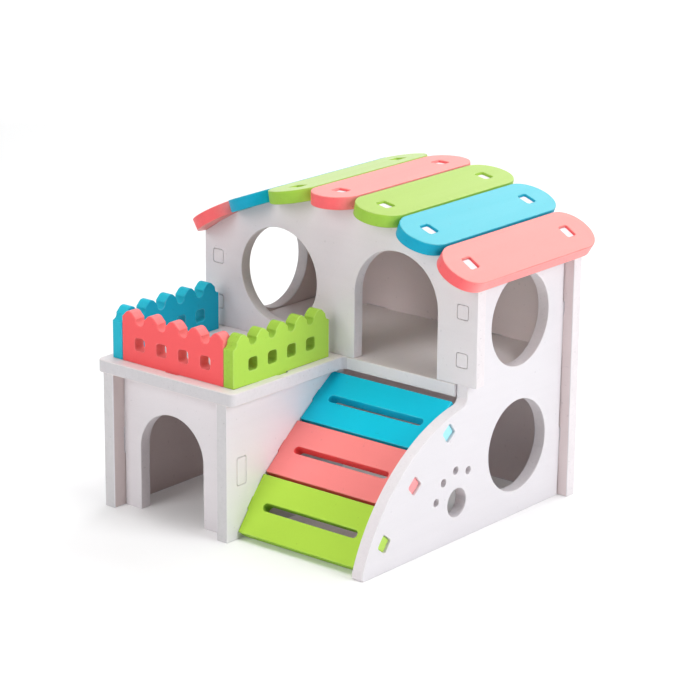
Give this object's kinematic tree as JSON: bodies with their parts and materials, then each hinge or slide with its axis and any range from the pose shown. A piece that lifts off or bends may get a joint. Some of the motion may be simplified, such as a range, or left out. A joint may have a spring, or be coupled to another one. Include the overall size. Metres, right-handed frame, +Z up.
{
  "type": "hamster house",
  "caption": "Two-storey wooden hamster house with a fenced terrace, a slotted ramp to the upper door and an arched slat roof; the boards join by tabs and mortises.",
  "frame": {"origin": "centre of the bounding box seen from above, at the height of the ground the walls stand on", "axes": "+Z up; the front with the door, the terrace and the ramp faces -Y; the ramp is on the +X side"},
  "size_m": [0.224, 0.2242, 0.1967],
  "materials": {
    "white_board": "satin paint",
    "coral_board": "satin paint",
    "blue_board": "satin paint",
    "green_board": "satin paint"
  },
  "bodies": {
    "root": {"front_wall": "white_board", "back_wall": "white_board", "right_side_wall": "white_board", "left_side_wall": "white_board", "annex_right_wall": "white_board", "annex_front_wall": "white_board", "floor_deck": "white_board", "fence_left": "blue_board", "fence_front": "coral_board", "fence_right": "green_board", "ramp_board_upper": "blue_board", "ramp_board_middle": "coral_board", "ramp_board_lower": "green_board", "roof_slat_1": "coral_board", "roof_slat_2": "blue_board", "roof_slat_3": "green_board", "roof_slat_4": "coral_board", "roof_slat_5": "green_board", "roof_slat_6": "blue_board", "roof_slat_7": "coral_board"}
  },
  "joints": []
}
